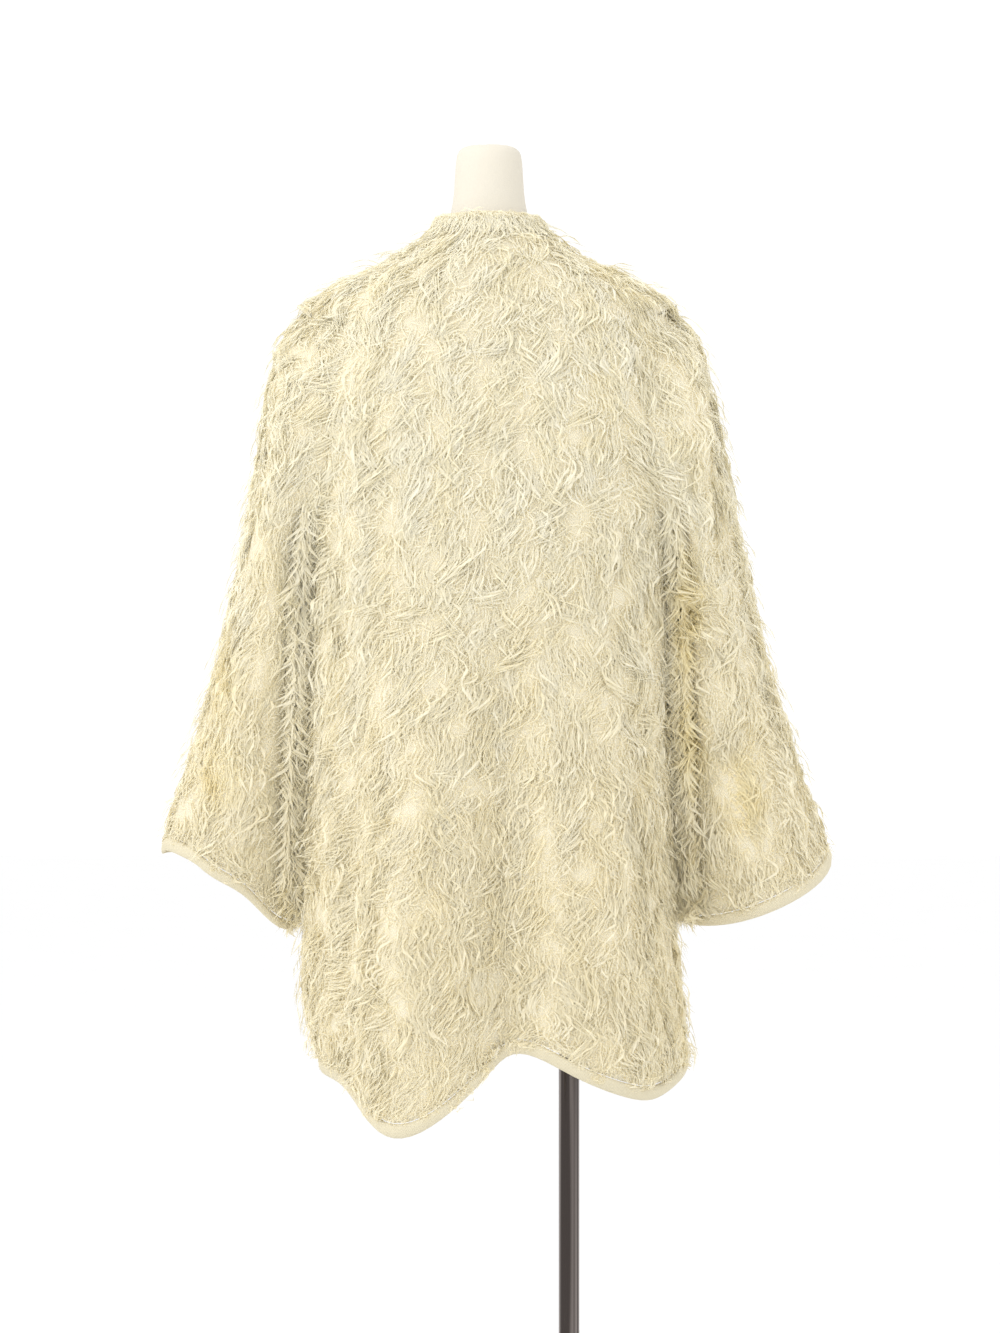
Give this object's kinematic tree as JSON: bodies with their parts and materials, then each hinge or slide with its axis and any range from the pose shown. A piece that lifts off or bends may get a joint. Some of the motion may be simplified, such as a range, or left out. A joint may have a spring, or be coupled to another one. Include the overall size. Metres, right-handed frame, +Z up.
{
  "type": "collarless fringe-knit jacket on a dress form",
  "caption": "Collarless open-front jacket in cream fringe knit, with wide sleeves, a waved hem and plain knitted edges, on a limbless dress form with an off-centre pole and a round base.",
  "frame": {"origin": "centre of the round base's underside, on the floor", "axes": "+Z up, +Y towards the jacket's back, +X towards the wearer's left"},
  "size_m": [0.629, 0.35, 1.462],
  "materials": {
    "fringe_knit": "matte eyelash-yarn fringe over a knitted ground",
    "knit_band": "matte plain knit",
    "form_cover": "smooth satin cover",
    "stand_metal": "dark polished metal"
  },
  "bodies": {
    "root": {"back": "fringe_knit", "front_left": "fringe_knit", "front_right": "fringe_knit", "sleeve_left": "fringe_knit", "sleeve_right": "fringe_knit", "front_band_left": "knit_band", "front_band_right": "knit_band", "hem_band": "knit_band", "neck_band": "knit_band", "cuff_band_left": "knit_band", "cuff_band_right": "knit_band", "form_torso": "form_cover", "stand_pole": "stand_metal", "stand_socket": "stand_metal", "stand_base": "stand_metal"}
  },
  "joints": []
}
